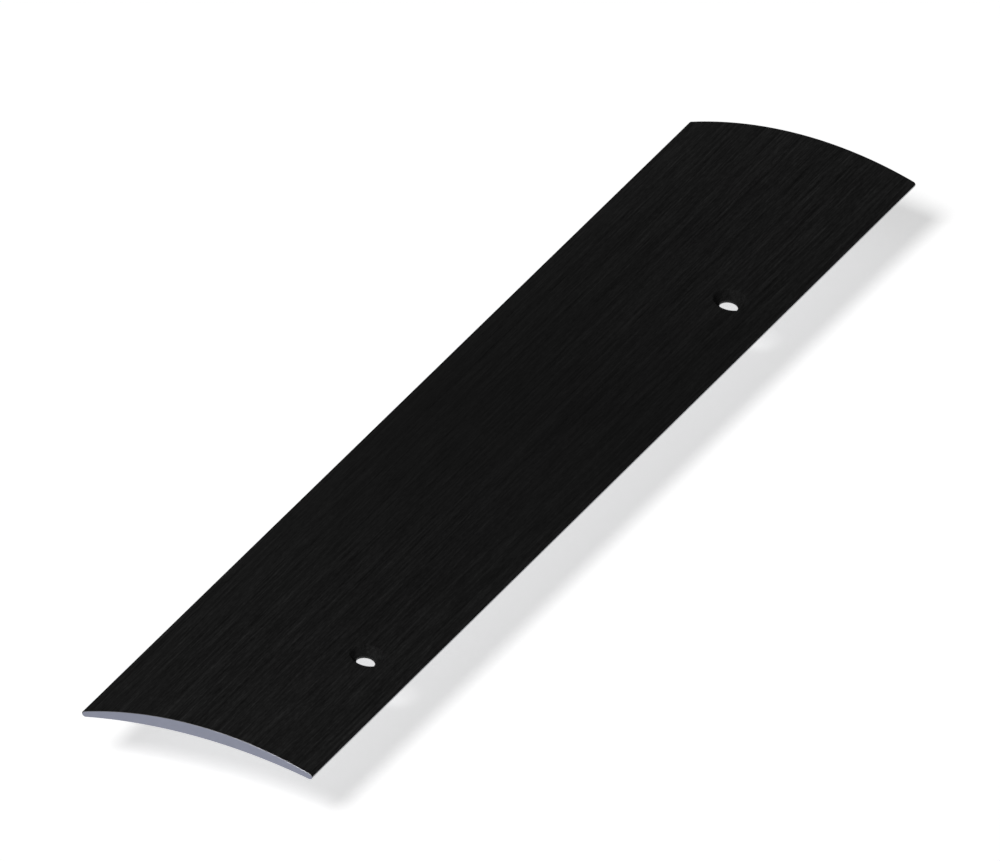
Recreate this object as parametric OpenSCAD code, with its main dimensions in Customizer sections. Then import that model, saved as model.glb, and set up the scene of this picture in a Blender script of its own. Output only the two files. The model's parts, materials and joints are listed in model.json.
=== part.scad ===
// Domed cover strip: a crowned aluminium extrusion with a thin black brushed
// facing bonded over its top, and two countersunk screw holes near one edge.
// +Y runs along the strip, +Z is up, and the lips stand on Z = 0.

/* [Strip] */
// Width over both rounded lips
strip_w = 50; // [46:1:60]
// Length between the two sawn ends
strip_l = 250; // [210:10:1000]

/* [Section] */
// Radius of the crowned top
crown_r = 80; // [74:1:84]
// Radius of the hollow underside
hollow_r = 118; // [114:1:130]
// Radius of the rounded lip along each long edge
lip_r = 0.65; // [0.65:0.05:0.9]

/* [Facing] */
// Thickness of the black facing
facing_t = 0.1; // [0.1:0.05:0.2]
// Thickness of the adhesive film under it
bond_t = 0.05; // [0.05:0.05:0.1]
// Angle above the horizontal at which the facing stops on the lip
wrap_angle = 5; // [0:5:50]

/* [Screw holes] */
// Offset of the hole line from the centre line
hole_x = 15.5; // [10:0.5:18]
// First hole, measured from the near end
hole_inset = 40; // [20:5:55]
// Distance from one hole to the next
hole_pitch = 150; // [50:5:150]
// Number of holes
hole_count = 2; // [1:1:2]
// Diameter of the through hole
hole_d = 3.7; // [3.6:0.1:4.2]
// Diameter of the countersink at the show face
sink_d = 7; // [6.8:0.1:7.2]
// Included angle of the countersink
sink_angle = 90; // [82:1:100]

/* [Hidden] */

skin_t = facing_t + bond_t;
half_sink = sink_angle / 2;
hole_r = hole_d / 2;
sink_depth = (sink_d / 2 - hole_r) / tan(half_sink);

// Each lip circle lies inside the crown circle and outside the hollow circle.
// It is larger by blend than one that would just touch them, so the arcs cross.
blend = 0.002;
touch_r = lip_r - blend;
lip_x = strip_w / 2 - lip_r;
lip_z = lip_r;
crown_a = asin(lip_x / (crown_r - touch_r));
crown_z = lip_z - (crown_r - touch_r) * cos(crown_a);
hollow_a = asin(lip_x / (hollow_r + touch_r));
hollow_z = lip_z - (hollow_r + touch_r) * cos(hollow_a);
top_z = crown_z + crown_r;

// The holes are drilled square to the crown
hole_a = asin(hole_x / crown_r);

// How far a cutting tool runs past what it cuts
over = 1;
// Facets of the large arcs, and of lips and holes, in a preview
arc_fn = 256;
round_fn = 72;

// A point at distance r and angle a from the X axis
function polar(r, a) = [r * cos(a), r * sin(a)];

// The disc under the crown, at a depth below the show face
module crown_disc(depth)
    translate([0, crown_z]) circle(r = crown_r - depth, $fn = arc_fn);

// Both lips, at a depth below the show face
module lip_discs(depth)
    for (side = [-1, 1])
        translate([side * lip_x, lip_z]) circle(r = lip_r - depth, $fn = round_fn);

// The crowned span from lip centre to lip centre, before it is hollowed. Its
// sides are the radii on which the crown and the hollow pass into the lips.
module span(depth) {
    up = polar(2 * lip_r, 90 - crown_a);
    down = polar(2 * lip_r, 90 - hollow_a);
    right = [
        [lip_x - down.x, lip_z - down.y],
        [lip_x, lip_z],
        [lip_x + up.x, lip_z + up.y],
        [lip_x, top_z + over],
    ];
    left = [for (i = [3 : -1 : 0]) [-right[i].x, right[i].y]];
    intersection() {
        crown_disc(depth);
        polygon(concat(right, left));
    }
}

// What lies over the line at which the facing stops on each lip
module above_wrap() {
    out = [lip_x, lip_z] + polar(strip_w, wrap_angle);
    right = [[lip_x, lip_z], out, out + [0, strip_w]];
    left = [for (i = [2 : -1 : 0]) [-right[i].x, right[i].y]];
    polygon(concat(right, left));
}

// A layer of the covering, between two depths below the show face
module layer_section(outer, inner)
    intersection() {
        difference() {
            union() {
                span(outer);
                lip_discs(outer);
            }
            span(inner);
            lip_discs(inner);
        }
        above_wrap();
    }

// The metal: let down by the covering's thickness on top, full on the bare lips
module metal_section() {
    difference() {
        span(skin_t);
        translate([0, hollow_z]) circle(r = hollow_r, $fn = arc_fn);
    }
    lip_discs(skin_t);
    difference() {
        lip_discs(0);
        above_wrap();
    }
}

// Runs a section along the strip
module along_strip()
    rotate([90, 0, 0]) linear_extrude(height = strip_l, center = true) children();

// Places children at each hole, with +Z out of the show face and Z = 0 on it
module at_holes()
    for (i = [0 : hole_count - 1])
        translate([0, hole_inset + i * hole_pitch - strip_l / 2, crown_z])
            rotate([0, hole_a, 0])
                translate([0, 0, crown_r]) children();

// The countersink, widened by grow square to its face and run on down by extra
module sink(grow, extra = 0) {
    foot_r = hole_r + grow / cos(half_sink) - extra * tan(half_sink);
    height = sink_depth + extra + over;
    translate([0, 0, -sink_depth - extra])
        cylinder(h = height, r1 = foot_r, r2 = foot_r + height * tan(half_sink), $fn = round_fn);
}

// A covering layer over the whole top and down into the countersinks
module covering(outer, inner) {
    difference() {
        union() {
            along_strip() layer_section(outer, inner);
            intersection() {
                at_holes() sink(inner);
                along_strip() crown_disc(outer);
            }
        }
        at_holes() sink(outer, extra = facing_t);
    }
}

module core_extrusion()
    color("lightslategray")
        difference() {
            along_strip() metal_section();
            at_holes() {
                sink(skin_t);
                translate([0, 0, -top_z]) cylinder(h = top_z, r = hole_r, $fn = round_fn);
            }
        }

module adhesive_film()
    color("tan") covering(facing_t, skin_t);

module brushed_facing()
    color("black") covering(0, facing_t);

core_extrusion();
adhesive_film();
brushed_facing();
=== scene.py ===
"""Looks of the domed threshold strip: bare extruded core, glue film and black brushed facing."""

import json
import math

import bmesh
import bpy
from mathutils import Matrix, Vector


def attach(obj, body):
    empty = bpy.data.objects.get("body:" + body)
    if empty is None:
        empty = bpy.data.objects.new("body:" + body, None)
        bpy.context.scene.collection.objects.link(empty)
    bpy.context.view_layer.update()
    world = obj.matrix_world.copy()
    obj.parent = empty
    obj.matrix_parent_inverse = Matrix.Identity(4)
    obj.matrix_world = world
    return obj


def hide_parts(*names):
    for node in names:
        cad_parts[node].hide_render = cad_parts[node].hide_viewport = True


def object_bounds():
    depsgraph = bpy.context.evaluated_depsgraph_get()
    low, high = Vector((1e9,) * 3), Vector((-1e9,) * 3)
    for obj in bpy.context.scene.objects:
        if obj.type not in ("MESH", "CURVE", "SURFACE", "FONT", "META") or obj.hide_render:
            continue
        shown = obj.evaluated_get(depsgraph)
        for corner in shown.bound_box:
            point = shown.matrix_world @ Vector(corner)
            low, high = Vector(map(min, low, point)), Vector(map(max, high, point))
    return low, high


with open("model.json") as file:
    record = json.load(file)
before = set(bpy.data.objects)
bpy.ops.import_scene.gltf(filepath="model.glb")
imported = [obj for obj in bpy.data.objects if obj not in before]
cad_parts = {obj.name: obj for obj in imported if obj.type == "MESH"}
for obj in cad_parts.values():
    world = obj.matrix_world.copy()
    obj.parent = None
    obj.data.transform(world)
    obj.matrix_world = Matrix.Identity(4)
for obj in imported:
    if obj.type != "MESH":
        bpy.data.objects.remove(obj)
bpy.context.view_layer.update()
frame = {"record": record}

MM = 0.001
low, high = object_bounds()
record = frame["record"]

# Sizes that the CAD drew the section with
CROWN_R = 80 * MM
HOLLOW_R = 118 * MM
LIP_R = 0.65 * MM
FACING_T = 0.1 * MM
BOND_T = 0.05 * MM
SKIN_T = FACING_T + BOND_T
WRAP_ANGLE = math.radians(5)
SINK_R = 3.5 * MM
SINK_HALF_ANGLE = math.radians(45)

# Small radii that finishing leaves on the edges
SINK_EDGE = 0.12 * MM
DRILLED_EDGE = 0.08 * MM
SAWN_EDGE = 0.03 * MM
THIN_EDGE = 0.01 * MM

# Width of the flat ring of mesh kept round each edge of a hole
RIM_RUN = 0.5 * MM

# Fineness of the meshes, half the width of the square patch round a hole, and the angle
# from which an edge is drawn sharp
COLUMN_STEP = 1.0 * MM
ROW_STEP = 8.0 * MM
LIP_STEPS = 24
HOLE_SIDE_STEPS = 20
HOLE_RINGS = 6
CORNER_STEPS = 4
MEET_STEPS = 8
PATCH = 5.0 * MM
SHARP_ANGLE = math.radians(28)

# Which of a piece's paints goes on its cut ends, and which in its drilled holes
END_PAINT = 1
BORE_PAINT = 2

# The screw holes: all on one line, leaning with the crown
holes = [m for m in record["mounts"] if m["kind"] == "bore"]
hole_ys = sorted(m["pos_m"][1] for m in holes)
HOLE_R = holes[0]["dims"]["r_mm"] * MM
LEAN = math.atan2(holes[0]["axis"][0], holes[0]["axis"][2])

# Places worked out from those sizes
lip_x = high.x - LIP_R
lip_z = low.z + LIP_R
crown_a = math.asin(lip_x / (CROWN_R - LIP_R))
crown_z = lip_z - (CROWN_R - LIP_R) * math.cos(crown_a)
hollow_a = math.asin(lip_x / (HOLLOW_R + LIP_R))
hollow_z = lip_z - (HOLLOW_R + LIP_R) * math.cos(hollow_a)
foot_s = CROWN_R - (SINK_R - HOLE_R) / math.tan(SINK_HALF_ANGLE)


# ---- Section and hole geometry ------------------------------------------------------------

class Round:
    """A long round surface along Y, whose section is a circle about (0, z)."""

    def __init__(self, z, r):
        self.z = z
        self.r = r

    def reach(self, p):
        """How far along the hole's direction the surface lies, p across from a hole's axis."""
        across = p * math.cos(LEAN)
        height = crown_z - p * math.sin(LEAN) - self.z
        along = across * math.sin(LEAN) + height * math.cos(LEAN)
        return -along + math.sqrt(along**2 - across**2 - height**2 + self.r**2)

    def offset(self, angle):
        """The p of the surface's point at an angle from the vertical."""
        x = self.r * math.sin(angle)
        z = self.z + self.r * math.cos(angle) - crown_z
        return x * math.cos(LEAN) - z * math.sin(LEAN)


def crown(depth):
    """The crowned top, at a depth below the show face."""
    return Round(crown_z, CROWN_R - depth)


hollow = Round(hollow_z, HOLLOW_R)


def place(p, q, s, y=0.0):
    """A point s along a hole's direction, p across from its axis and q along the strip."""
    x = p * math.cos(LEAN) + s * math.sin(LEAN)
    z = crown_z - p * math.sin(LEAN) + s * math.cos(LEAN)
    return Vector((x, y + q, z))


def on_cone(rho, grow):
    """The s at which the countersink, widened by grow, has radius rho."""
    foot_r = HOLE_R + grow / math.cos(SINK_HALF_ANGLE)
    return foot_s + (rho - foot_r) / math.tan(SINK_HALF_ANGLE)


def cone_meets(surface, grow, phi):
    """The radius at which the widened countersink comes out of a surface, in direction phi."""
    foot_r = HOLE_R + grow / math.cos(SINK_HALF_ANGLE)
    rho = SINK_R
    for _ in range(MEET_STEPS):
        rise = surface.reach(rho * math.cos(phi)) - foot_s
        rho = foot_r + rise * math.tan(SINK_HALF_ANGLE)
    return rho


def lip_arc(radius, start, end):
    """Points down the right-hand lip, between two angles from the vertical."""
    turn = (end - start) / LIP_STEPS
    angles = [start + turn * i for i in range(LIP_STEPS + 1)]
    return [(lip_x + radius * math.sin(a), lip_z + radius * math.cos(a)) for a in angles]


def spread(start, end, step):
    """Evenly spaced numbers from start to end, no further apart than step."""
    count = max(1, math.ceil(abs(end - start) / step))
    return [start + (end - start) * i / count for i in range(count + 1)]


# Lines of the square patch round each hole, at even angles as seen from its axis
patch_lines = [
    PATCH * math.tan(math.radians(90 * i / HOLE_SIDE_STEPS - 45))
    for i in range(HOLE_SIDE_STEPS + 1)
]


def patch_ring():
    """(row, column) of the points on a patch's edge, anticlockwise from its lower right."""
    n = HOLE_SIDE_STEPS
    steps = range(n)
    ring = [(k, n) for k in steps] + [(n, n - k) for k in steps]
    return ring + [(n - k, 0) for k in steps] + [(0, k) for k in steps]


def columns(surface, angle):
    """Points across a surface from lip to lip, and the index at which the patch starts."""
    left = spread(surface.offset(-angle), -PATCH, COLUMN_STEP)
    right = spread(PATCH, surface.offset(angle), COLUMN_STEP)
    ps = left[:-1] + patch_lines + right[1:]
    points = [place(p, 0, surface.reach(p)) for p in ps]
    return [(v.x, v.z) for v in points], len(left) - 1


def rows(edge):
    """Places along the strip, and the index at which each hole's patch starts."""
    ys = [low.y, low.y + edge]
    starts = []
    for y in hole_ys:
        ys += spread(ys[-1], y - PATCH, ROW_STEP)[1:-1]
        starts.append(len(ys))
        ys += [y + line for line in patch_lines]
    ys += spread(ys[-1], high.y - edge, ROW_STEP)[1:] + [high.y]
    return ys, starts


def drawn_in(loop, by):
    """A closed outline moved inward by a small distance."""
    moved = []
    for i, point in enumerate(loop):
        before = Vector(loop[i - 1])
        after = Vector(loop[(i + 1) % len(loop)])
        along = (after - before).normalized()
        moved.append((point[0] + by * along.y, point[1] - by * along.x))
    return moved


def rounded(corners):
    """A line through (point, radius) corners, with each corner that has a radius eased."""
    line = []
    for i, (point, radius) in enumerate(corners):
        if radius == 0:
            line.append(point)
            continue
        start = point + (corners[i - 1][0] - point).normalized() * radius
        end = point + (corners[i + 1][0] - point).normalized() * radius
        for step in range(CORNER_STEPS + 1):
            t = step / CORNER_STEPS
            line.append(start * (1 - t) ** 2 + point * (2 * t * (1 - t)) + end * t**2)
    return line


# ---- Meshes ---------------------------------------------------------------------------------

class Layer:
    """A long curved layer with the screw holes through it, built up in one mesh.

    top and under are its two long surfaces, and under_angle is where the lower one ends.
    side holds the points down its right-hand edge. edge is the bevel of the cut ends.
    """

    def __init__(self, top, under, under_angle, side, edge):
        self.top = top
        self.under = under
        top_line, self.first = columns(top, crown_a)
        under_line, under_first = columns(under, under_angle)
        if len(top_line) != len(under_line) or self.first != under_first:
            raise ValueError("the two surfaces have different columns")
        left_side = [(-x, z) for x, z in reversed(side)]
        self.outline = top_line + side + under_line[::-1] + left_side
        self.end_outline = drawn_in(self.outline, edge)
        self.top_end = len(top_line) - 1
        self.under_start = len(top_line) + len(side)
        self.under_end = self.under_start + len(under_line) - 1
        self.ys, self.starts = rows(edge)
        self.bm = bmesh.new()
        self.corners = {}

    def corner(self, row, index):
        """The vertex in a row at a point of the outline, made when first asked for."""
        index %= len(self.outline)
        if (row, index) not in self.corners:
            outline = self.end_outline if row in (0, len(self.ys) - 1) else self.outline
            x, z = outline[index]
            self.corners[row, index] = self.bm.verts.new((x, self.ys[row], z))
        return self.corners[row, index]

    def face(self, spots):
        """A face between corners that are given as (row, index)."""
        return self.bm.faces.new([self.corner(*spot) for spot in spots])

    def in_patch(self, row, index):
        """Whether the long face that starts there belongs to the patch round a hole."""
        beside = any(start <= row < start + HOLE_SIDE_STEPS for start in self.starts)
        across = range(self.first, self.first + HOLE_SIDE_STEPS)
        return beside and (index in across or self.under_end - 1 - index in across)

    def add_skin(self):
        """The long faces all round, without the patches."""
        for row in range(len(self.ys) - 1):
            for index in range(len(self.outline)):
                if not self.in_patch(row, index):
                    near = [(row, index), (row, index + 1)]
                    far = [(row + 1, index + 1), (row + 1, index)]
                    self.face(near + far)

    def across_patch(self, surface, edge, rim, y):
        """Vertices on a surface, between the patch's edge and the start of a hole's wall."""
        rim_p = rim.x * math.cos(LEAN) - (rim.z - crown_z) * math.sin(LEAN)
        made = []
        for ring in range(1, HOLE_RINGS):
            t = ring / HOLE_RINGS
            p = edge[0] + (rim_p - edge[0]) * t
            q = edge[1] + (rim.y - edge[1]) * t
            made.append(self.bm.verts.new(place(p, q, surface.reach(p), y)))
        return made

    def strand(self, start, y, row, col, wall):
        """Vertices from a patch's edge on the top, down a hole, to its edge on the underside."""
        edge = (patch_lines[col], patch_lines[row])
        line = rounded(wall(math.atan2(edge[1], edge[0])))
        made = [self.corner(start + row, self.first + col)]
        made += self.across_patch(self.top, edge, line[0], y)
        made += [self.bm.verts.new(point + Vector((0, y, 0))) for point in line]
        made += self.across_patch(self.under, edge, line[-1], y)[::-1]
        made.append(self.corner(start + row, self.under_end - self.first - col))
        return made

    def add_holes(self, wall):
        """Both faces of each patch and the hole between them. Returns the wall's faces."""
        bored = []
        for start, y in zip(self.starts, hole_ys):
            strands = [self.strand(start, y, row, col, wall) for row, col in patch_ring()]
            for a, b in zip(strands, strands[1:] + strands[:1]):
                for k in range(len(a) - 1):
                    face = self.bm.faces.new([a[k], a[k + 1], b[k + 1], b[k]])
                    if HOLE_RINGS < k < len(a) - 2 - HOLE_RINGS:
                        bored.append(face)
        return bored

    def add_ends(self):
        """The flat cut ends. Returns their faces."""
        ends = []
        right = range(self.top_end, self.under_start + 1)
        left = range(self.under_end, len(self.outline) + 1)
        for row in (0, len(self.ys) - 1):
            for col in range(self.top_end):
                below = self.under_end - col
                ends.append(self.face([(row, i) for i in (col, col + 1, below - 1, below)]))
            for side in (right, left):
                ends.append(self.face([(row, i) for i in side]))
        return ends

    def piece(self, name, wall, paints):
        """Builds the layer as an object.

        wall(phi) gives the (point, radius) corners down the wall of a hole, from a spot on
        the top to a spot on the underside. paints are for the long surfaces, ends and holes.
        """
        self.add_skin()
        bored = self.add_holes(wall)
        ends = self.add_ends()
        bmesh.ops.recalc_face_normals(self.bm, faces=self.bm.faces)
        for face in self.bm.faces:
            face.smooth = True
        for index, faces in ((END_PAINT, ends), (BORE_PAINT, bored)):
            for face in faces:
                face.material_index = min(index, len(paints) - 1)
        mesh = bpy.data.meshes.new(name)
        self.bm.to_mesh(mesh)
        self.bm.free()
        mesh.set_sharp_from_angle(angle=SHARP_ANGLE)
        for paint in paints:
            mesh.materials.append(paint)
        made = bpy.data.objects.new(name, mesh)
        bpy.context.scene.collection.objects.link(made)
        return made


def polar(rho, phi, s):
    """A point at a distance and a direction from a hole's axis, s along it."""
    return place(rho * math.cos(phi), rho * math.sin(phi), s)


def on_surface(surface, rho, phi):
    """The point of a surface at a distance and a direction from a hole's axis."""
    return polar(rho, phi, surface.reach(rho * math.cos(phi)))


def covering_wall(outer, inner):
    """The wall of a hole in a covering layer: down the countersink and back up behind it."""

    def wall(phi):
        corners = []
        for grow, edge in ((outer, SINK_EDGE), (inner, SINK_EDGE)):
            rho = cone_meets(crown(grow), grow, phi)
            foot_r = HOLE_R + grow / math.cos(SINK_HALF_ANGLE)
            part = [
                (on_surface(crown(grow), rho + RIM_RUN, phi), 0),
                (polar(rho, phi, on_cone(rho, grow)), edge),
                (polar(foot_r, phi, foot_s), 0),
            ]
            corners += part if grow == outer else part[::-1]
        return corners

    return wall


def core_wall(phi):
    """The wall of a hole in the metal: countersink, narrow ledge, then the drilled land."""
    rho = cone_meets(crown(SKIN_T), SKIN_T, phi)
    foot_r = HOLE_R + SKIN_T / math.cos(SINK_HALF_ANGLE)
    return [
        (on_surface(crown(SKIN_T), rho + RIM_RUN, phi), 0),
        (polar(rho, phi, on_cone(rho, SKIN_T)), SINK_EDGE),
        (polar(foot_r, phi, foot_s), 0),
        (polar(HOLE_R, phi, foot_s), 0),
        (on_surface(hollow, HOLE_R, phi), DRILLED_EDGE),
        (on_surface(hollow, HOLE_R + RIM_RUN, phi), 0),
    ]


def covering(name, outer, inner, paints):
    """A layer of the covering, between two depths below the show face."""
    stop = math.pi / 2 - WRAP_ANGLE
    down = lip_arc(LIP_R - outer, crown_a, stop)[1:]
    back = lip_arc(LIP_R - inner, stop, crown_a)[:-1]
    layer = Layer(crown(outer), crown(inner), crown_a, down + back, THIN_EDGE)
    return layer.piece(name, covering_wall(outer, inner), paints)


def core(name, paints):
    """The bare metal, let down by the covering's thickness where the covering lies."""
    stop = math.pi / 2 - WRAP_ANGLE
    side = lip_arc(LIP_R - SKIN_T, crown_a, stop)[1:]
    side += lip_arc(LIP_R, stop, math.pi + hollow_a)[:-1]
    layer = Layer(crown(SKIN_T), hollow, hollow_a, side, SAWN_EDGE)
    return layer.piece(name, core_wall, paints)


# ---- Materials ------------------------------------------------------------------------------

class Paint:
    """A node material, with helpers that keep its making short."""

    def __init__(self, name, **constants):
        self.material = bpy.data.materials.new(name)
        self.material.use_nodes = True
        self.tree = self.material.node_tree
        self.shader = self.tree.nodes["Principled BSDF"]
        for socket, value in constants.items():
            self.shader.inputs[socket.replace("_", " ")].default_value = value
        self.coords = self.node("ShaderNodeTexCoord").outputs["Object"]

    def node(self, kind, **settings):
        made = self.tree.nodes.new(kind)
        for key, value in settings.items():
            setattr(made, key, value)
        return made

    def link(self, source, target):
        self.tree.links.new(source, target)

    def noise(self, grain, detail=2.0, rough=0.5, seed=0.0):
        """Noise whose grains measure about grain = (x, y, z) metres.

        seed moves it, so that no two noises of a paint are alike.
        """
        stretch = self.node("ShaderNodeMapping")
        stretch.inputs["Scale"].default_value = [1 / g for g in grain]
        stretch.inputs["Location"].default_value = (seed, seed * 1.7, seed * 0.6)
        self.link(self.coords, stretch.inputs["Vector"])
        noise = self.node("ShaderNodeTexNoise")
        noise.inputs["Scale"].default_value = 1.0
        noise.inputs["Detail"].default_value = detail
        noise.inputs["Roughness"].default_value = rough
        self.link(stretch.outputs["Vector"], noise.inputs["Vector"])
        return noise.outputs["Fac"]

    def between(self, value, a, b, start=0.0, end=1.0):
        """Maps a value from the range start to end onto a to b."""
        node = self.node("ShaderNodeMapRange")
        for key, number in (("From Min", start), ("From Max", end), ("To Min", a), ("To Max", b)):
            node.inputs[key].default_value = number
        self.link(value, node.inputs["Value"])
        return node.outputs["Result"]

    def maths(self, operation, a, b):
        node = self.node("ShaderNodeMath", operation=operation)
        for socket, value in zip(node.inputs, (a, b)):
            if isinstance(value, (int, float)):
                socket.default_value = value
            else:
                self.link(value, socket)
        return node.outputs["Value"]

    def mixed(self, a, b, share):
        """Two values added up, b with the given share of the sum."""
        return self.maths(
            "ADD", self.maths("MULTIPLY", a, 1 - share), self.maths("MULTIPLY", b, share)
        )

    def off_from(self, y):
        """How far along the strip a point lies from a place."""
        split = self.node("ShaderNodeSeparateXYZ")
        self.link(self.coords, split.inputs["Vector"])
        return self.maths("ABSOLUTE", self.maths("SUBTRACT", split.outputs["Y"], y), 0)

    def tint(self, value, dark, light):
        """A colour between two, by value."""
        node = self.node("ShaderNodeMix", data_type="RGBA")
        self.link(value, node.inputs["Factor"])
        node.inputs["A"].default_value = (*dark, 1)
        node.inputs["B"].default_value = (*light, 1)
        return node.outputs["Result"]

    def bump(self, height, distance, strength=1.0):
        node = self.node("ShaderNodeBump")
        node.inputs["Distance"].default_value = distance
        node.inputs["Strength"].default_value = strength
        self.link(height, node.inputs["Height"])
        self.link(node.outputs["Normal"], self.shader.inputs["Normal"])

    def set(self, socket, value):
        self.link(value, self.shader.inputs[socket])


def brushed_black():
    """Black, brushed lengthwise, bolder towards the strip's ends, with painted sheen that makes it
    a little lighter towards them.

    The contrast and the lightness are in stops, each of which doubles the tone.
    """
    fine_share = 0.42
    long_share = 0.3
    middle_contrast = 3.4
    end_contrast = 6.0
    middle_stops = -2
    end_sheen = 0.46
    grey = 0.0505
    paint = Paint("brushed_black", Metallic=0.0, IOR=1.45, Specular_IOR_Level=0.002)
    fine = paint.noise((0.31 * MM, 1.4 * MM, 0.31 * MM), detail=2, rough=0.6, seed=2)
    short = paint.noise((0.33 * MM, 10 * MM, 0.33 * MM), detail=2, rough=0.6)
    long = paint.noise((0.5 * MM, 70 * MM, 0.5 * MM), detail=2, rough=0.5, seed=5)
    lines = paint.mixed(paint.mixed(short, fine, fine_share), long, long_share)
    off = paint.off_from(5 * MM)
    contrast = paint.between(off, middle_contrast, end_contrast, 5 * MM, 95 * MM)
    # Painted sheen: the tone is lifted more the farther a point lies along the strip from a place
    # near its middle
    painted_sheen = paint.between(paint.off_from(15 * MM), 0, end_sheen, 0, 130 * MM)
    stops = paint.maths("MULTIPLY", paint.maths("SUBTRACT", lines, 0.5), contrast)
    stops = paint.maths("ADD", paint.maths("ADD", stops, painted_sheen), middle_stops)
    tone = paint.maths("POWER", 2, stops)
    paint.set("Base Color", paint.tint(tone, (0, 0, 0), (grey, grey, grey)))
    paint.set("Roughness", paint.between(lines, 0.26, 0.38, 0.35, 0.65))
    paint.bump(lines, 0.003 * MM)
    return paint.material


def black_bore():
    """The drilled wall, blackened by the coating: matt and a little cloudy."""
    paint = Paint("black_bore", Metallic=0.0, Specular_IOR_Level=0.3)
    cloud = paint.noise((0.6 * MM, 0.6 * MM, 0.2 * MM), detail=3)
    paint.set("Base Color", paint.tint(cloud, (0.004, 0.004, 0.004), (0.016, 0.016, 0.016)))
    paint.set("Roughness", paint.between(cloud, 0.5, 0.7))
    paint.bump(cloud, 0.004 * MM)
    return paint.material


def extruded_metal():
    """Mill-finish aluminium with die lines along the strip."""
    paint = Paint("extruded_metal", Metallic=1.0)
    die = paint.noise((0.15 * MM, 60 * MM, 0.15 * MM), detail=3, rough=0.6)
    cloud = paint.noise((9 * MM, 30 * MM, 9 * MM), detail=3, seed=3)
    tone = paint.between(paint.mixed(die, cloud, 0.4), 0, 1, 0.3, 0.7)
    paint.set("Base Color", paint.tint(tone, (0.33, 0.335, 0.35), (0.43, 0.435, 0.45)))
    paint.set("Roughness", paint.between(die, 0.36, 0.5, 0.3, 0.7))
    paint.bump(die, 0.003 * MM)
    return paint.material


def sawn_metal():
    """The cut end: fine marks of the saw, nearly upright, on a matt grey-blue face."""
    paint = Paint("sawn_metal", Metallic=1.0)
    marks = paint.noise((0.12 * MM, 5 * MM, 2.5 * MM), detail=3, rough=0.6)
    cloud = paint.noise((3 * MM, 3 * MM, 1.5 * MM), detail=2, seed=4)
    tone = paint.between(paint.mixed(marks, cloud, 0.4), 0, 1, 0.3, 0.7)
    paint.set("Base Color", paint.tint(tone, (0.277, 0.29, 0.361), (0.315, 0.33, 0.405)))
    paint.set("Roughness", paint.between(marks, 0.5, 0.6, 0.3, 0.7))
    paint.bump(marks, 0.003 * MM)
    return paint.material


def glue():
    """Clear glue, a little cloudy, seen only as a hairline at the cut ends."""
    paint = Paint("glue", Metallic=0.0)
    cloud = paint.noise((2 * MM, 2 * MM, 2 * MM), detail=3)
    paint.set("Base Color", paint.tint(cloud, (0.05, 0.045, 0.04), (0.09, 0.08, 0.065)))
    paint.set("Roughness", paint.between(cloud, 0.25, 0.4))
    paint.bump(cloud, 0.005 * MM)
    return paint.material


# ---- The pieces -------------------------------------------------------------------------------

black = brushed_black()
extruded = extruded_metal()
sawn = sawn_metal()
bore = black_bore()
for piece, node, slot in (
    (core("extruded_core", [extruded, sawn, bore]), "core_extrusion", "aluminium"),
    (covering("glue_film", FACING_T, SKIN_T, [glue()]), "adhesive_film", "adhesive"),
    (covering("black_facing", 0, FACING_T, [black]), "brushed_facing", "black_facing"),
):
    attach(piece, "root")
    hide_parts(node)


# ---- Floor, light and camera ------------------------------------------------------------------

def floor():
    """A plain white floor with some glow of its own, so that shadows on it stay pale.

    It lies a little below the strip's lips, which moves the shadow out from under them.
    """
    drop = 12.2 * MM
    half = 6.0
    glow = 0.585
    mesh = bpy.data.meshes.new("floor")
    z = low.z - drop
    corners = [(-half, -half, z), (half, -half, z), (half, half, z), (-half, half, z)]
    mesh.from_pydata(corners, [], [(0, 1, 2, 3)])
    paint = Paint("floor_white", Roughness=1.0, Specular_IOR_Level=0.0, Emission_Strength=glow)
    paint.shader.inputs["Base Color"].default_value = (0.8, 0.8, 0.8, 1)
    paint.shader.inputs["Emission Color"].default_value = (1, 1, 1, 1)
    mesh.materials.append(paint.material)
    plane = bpy.data.objects.new("floor", mesh)
    bpy.context.scene.collection.objects.link(plane)


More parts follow.
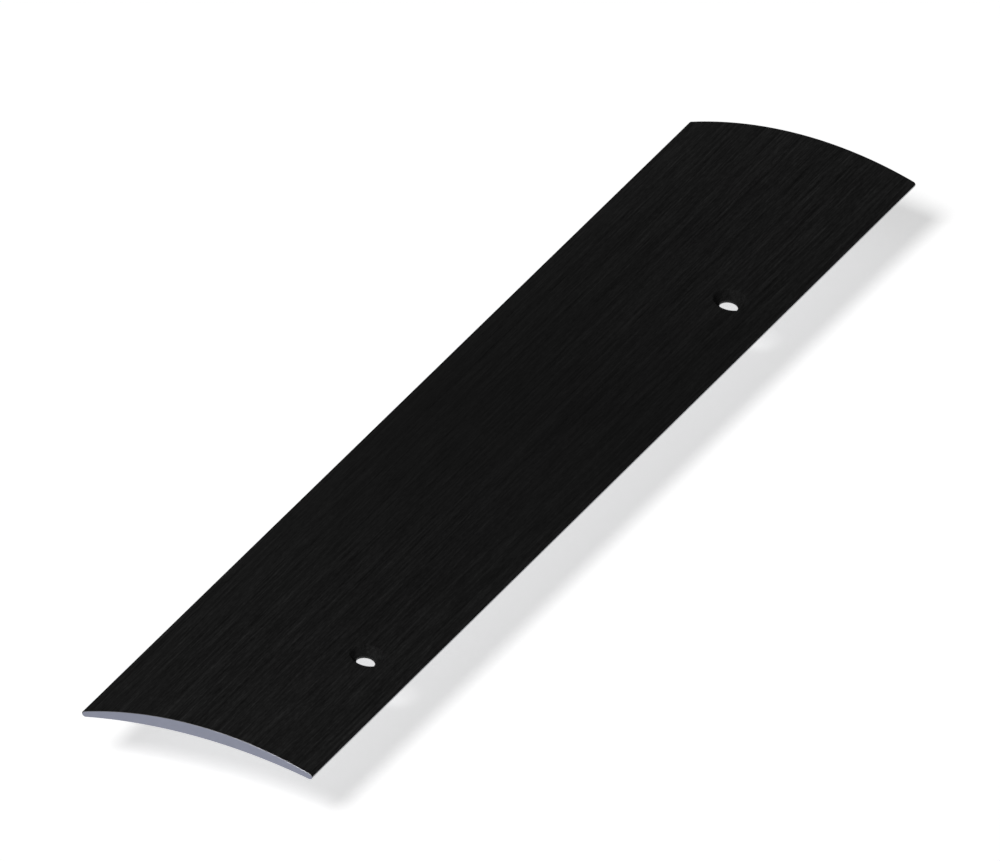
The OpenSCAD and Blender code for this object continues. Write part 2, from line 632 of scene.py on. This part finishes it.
def sun():
    """A soft key light from in front, whose shadow shows past the right-hand edge."""
    towards = Vector((0.053, 0.866, -1)).normalized()
    light = bpy.data.lights.new("key", "SUN")
    light.energy = 1.95
    light.angle = math.radians(19)
    lamp = bpy.data.objects.new("key", light)
    lamp.rotation_euler = towards.to_track_quat("-Z", "Y").to_euler()
    bpy.context.scene.collection.objects.link(lamp)


def surroundings():
    """A dim studio, darkest at the horizon, that the camera sees as white as the floor."""
    horizon = 0.01
    overhead = 0.09
    world = bpy.data.worlds.new("studio")
    world.use_nodes = True
    tree = world.node_tree
    coords = tree.nodes.new("ShaderNodeTexCoord")
    split = tree.nodes.new("ShaderNodeSeparateXYZ")
    fade = tree.nodes.new("ShaderNodeMapRange")
    fade.inputs["To Min"].default_value = horizon
    fade.inputs["To Max"].default_value = overhead
    background = tree.nodes["Background"]
    background.inputs["Color"].default_value = (1, 1, 1, 1)
    tree.links.new(coords.outputs["Generated"], split.inputs["Vector"])
    tree.links.new(split.outputs["Z"], fade.inputs["Value"])
    seen = tree.nodes.new("ShaderNodeLightPath").outputs["Is Camera Ray"]
    strength = tree.nodes.new("ShaderNodeMath")
    strength.operation = "MAXIMUM"
    tree.links.new(fade.outputs["Result"], strength.inputs[0])
    tree.links.new(seen, strength.inputs[1])
    tree.links.new(strength.outputs["Value"], background.inputs["Strength"])
    bpy.context.scene.world = world
    bpy.context.scene.view_settings.view_transform = "Standard"


def camera():
    """A long lens, nearly a parallel projection, from the front right and a third of the way up."""
    azimuth = math.radians(27.91)
    elevation = math.radians(31.11)
    view_width = 193.31 * MM
    distance = 7.8
    aim = Vector((-0.14 * MM, -1.1 * MM, high.z - 0.38 * MM))
    back = Vector((
        math.sin(azimuth) * math.cos(elevation),
        -math.cos(azimuth) * math.cos(elevation),
        math.sin(elevation),
    ))
    data = bpy.data.cameras.new("camera")
    data.lens = data.sensor_width * distance / view_width
    eye = bpy.data.objects.new("camera", data)
    eye.location = aim + back * distance
    eye.rotation_euler = (-back).to_track_quat("-Z", "Y").to_euler()
    bpy.context.scene.collection.objects.link(eye)
    bpy.context.scene.camera = eye


floor()
sun()
surroundings()
camera()
